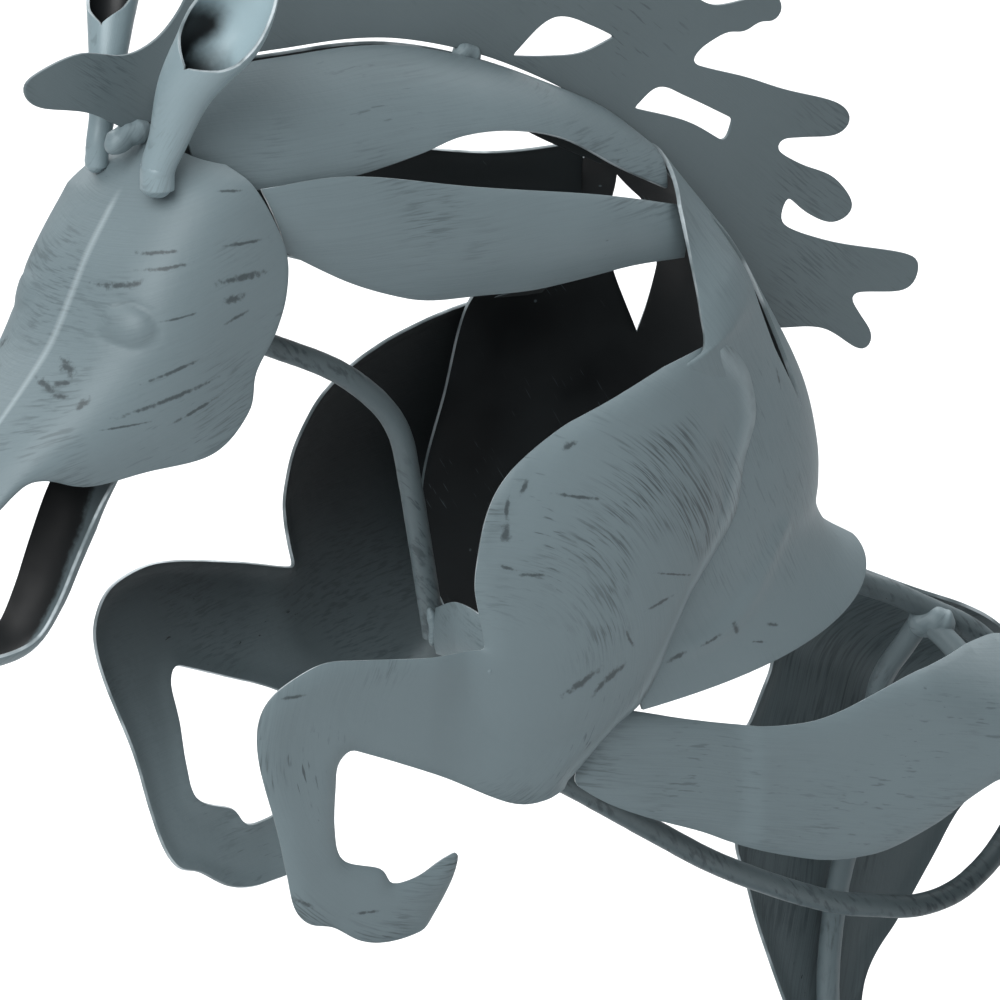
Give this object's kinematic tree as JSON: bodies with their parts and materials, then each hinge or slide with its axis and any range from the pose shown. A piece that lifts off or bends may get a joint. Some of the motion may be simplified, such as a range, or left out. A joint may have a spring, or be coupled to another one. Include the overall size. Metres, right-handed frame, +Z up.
{
  "type": "horse sculpture",
  "caption": "Rearing horse sculpture of welded sheet steel plates and bent round rod, painted brushed grey, on a flat base plate.",
  "frame": {"origin": "centre of the base plate's underside, on the floor", "axes": "+Z up; the horse faces -X; its left side, nearest in the picture, is towards -Y"},
  "size_m": [0.5017, 0.15, 0.5087],
  "materials": {
    "brushed_grey_paint": "satin blue-grey paint with fine dark brushed streaks",
    "brushed_dark_paint": "satin dark grey paint, brushed lighter on top",
    "base_paint": "satin blue-grey paint"
  },
  "bodies": {
    "root": {"head": "brushed_grey_paint", "lower_jaw": "brushed_grey_paint", "left_ear": "brushed_grey_paint", "right_ear": "brushed_grey_paint", "mane": "brushed_grey_paint", "tail": "brushed_grey_paint", "left_neck_crest": "brushed_grey_paint", "right_neck_crest": "brushed_grey_paint", "left_neck_side": "brushed_grey_paint", "right_neck_side": "brushed_grey_paint", "rib_cage": "brushed_grey_paint", "left_shoulder_and_foreleg": "brushed_grey_paint", "right_shoulder_and_foreleg": "brushed_grey_paint", "left_haunch_and_hind_leg": "brushed_grey_paint", "right_haunch_and_hind_leg": "brushed_grey_paint", "chest_tab": "brushed_grey_paint", "chest_rod": "brushed_dark_paint", "belly_rod": "brushed_dark_paint", "spine_rod": "brushed_dark_paint", "left_leg_rod": "brushed_dark_paint", "right_leg_rod": "brushed_dark_paint", "base_plate": "base_paint"}
  },
  "joints": []
}
